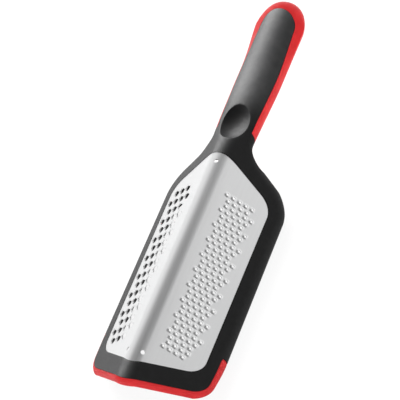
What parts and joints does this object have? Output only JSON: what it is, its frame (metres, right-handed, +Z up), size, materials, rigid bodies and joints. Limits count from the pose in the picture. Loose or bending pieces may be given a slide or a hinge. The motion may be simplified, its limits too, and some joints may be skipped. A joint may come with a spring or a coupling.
{
  "type": "hand grater",
  "caption": "Roof-shaped hand grater: a bent steel sheet with a coarse and a fine side in a plastic frame that runs on into a long handle with a thumb recess.",
  "frame": {"origin": "on the surface the rails stand on, at the middle of the length and width", "axes": "+X to the fine side, +Y along the ridge towards the handle, +Z up"},
  "size_m": [0.089, 0.3084, 0.0507],
  "materials": {
    "black_plastic": "fine matt moulding",
    "steel": "satin",
    "red_plastic": "satin moulding",
    "red_soft": "soft matt"
  },
  "bodies": {
    "root": {"frame": "black_plastic", "grater_sheet": "steel", "handle_lower_shell": "red_plastic", "foot_strip": "red_soft"}
  },
  "joints": []
}
